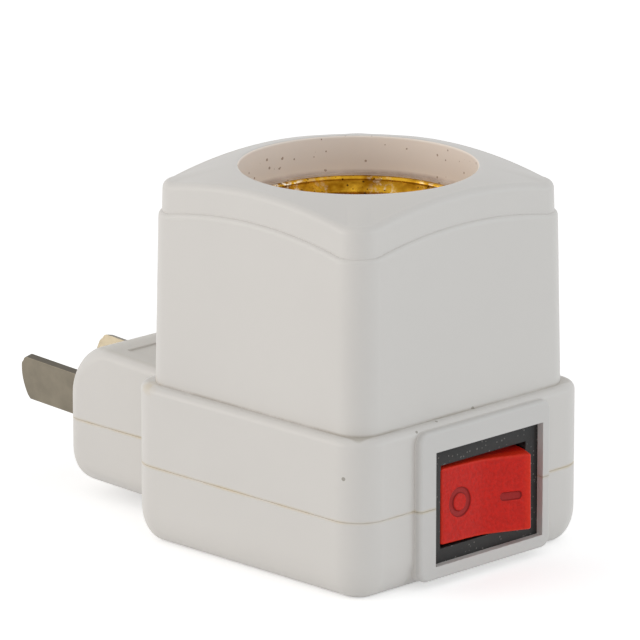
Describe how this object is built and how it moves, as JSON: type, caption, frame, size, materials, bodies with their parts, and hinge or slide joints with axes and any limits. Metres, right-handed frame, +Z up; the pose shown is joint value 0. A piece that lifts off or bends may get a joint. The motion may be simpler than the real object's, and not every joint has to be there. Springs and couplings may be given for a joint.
{
  "type": "plug-in lamp holder",
  "caption": "Square plug-in lamp holder with a screw socket on top, a rocker switch in front and two flat pins behind.",
  "frame": {"origin": "centre of the base's bottom face, on the lamp's axis", "axes": "+Z up along the lamp's axis, -Y to the switch, +Y along the pins"},
  "size_m": [0.0412, 0.0775, 0.0489],
  "materials": {
    "housing_plastic": "warm off-white moulded plastic, satin",
    "shell_brass": "rolled sheet, yellow passivated",
    "contact_brass": "plain sheet",
    "plated_steel": "zinc plated",
    "pin_nickel": "dull nickel-plated sheet",
    "contact_silver": "silver-faced contact",
    "switch_black": "fine-grained black moulding",
    "rocker_red": "red moulding, finely textured",
    "wire_brown": "insulation",
    "wire_black": "insulation",
    "wire_blue": "insulation"
  },
  "bodies": {
    "housing": {"upper_shell": "housing_plastic", "lower_shell": "housing_plastic", "screw_shell": "shell_brass", "centre_contact": "contact_brass", "shell_strip": "contact_brass", "centre_strip": "contact_brass", "contact_rivets": "plated_steel", "cover_screws": "plated_steel", "live_pin": "pin_nickel", "neutral_pin": "pin_nickel", "switch_body": "switch_black", "fixed_contact": "contact_silver", "common_terminal": "contact_brass", "load_terminal": "contact_brass", "wire_live": "wire_brown", "wire_switched": "wire_black", "wire_neutral": "wire_blue"},
    "rocker": {"rocker": "rocker_red", "rocker_spring": "plated_steel"},
    "plunger": {"plunger": "plated_steel"},
    "bridge": {"contact_bridge": "contact_brass", "moving_contact": "contact_silver"}
  },
  "joints": [
    {"name": "rocker_pivot", "type": "hinge", "parent": "housing", "child": "rocker", "pos_m": [0.00138, -0.019, 0.0096], "axis": [0, 0, 1], "range_deg": [0, 18]},
    {"name": "plunger_slide", "type": "slide", "parent": "rocker", "child": "plunger", "axis": [-0.1564, -0.9877, 0], "range_m": [0, 0.0005], "stiffness_N_per_m": 200, "deforming": ["rocker_spring"]},
    {"name": "bridge_rock", "type": "hinge", "parent": "housing", "child": "bridge", "pos_m": [0.00138, -0.01082, 0.0096], "axis": [0, 0, 1], "range_deg": [-10, 0]}
  ],
  "couplings": [
    {"joint": "bridge_rock", "follows": "rocker_pivot", "ratio": -0.55}
  ]
}
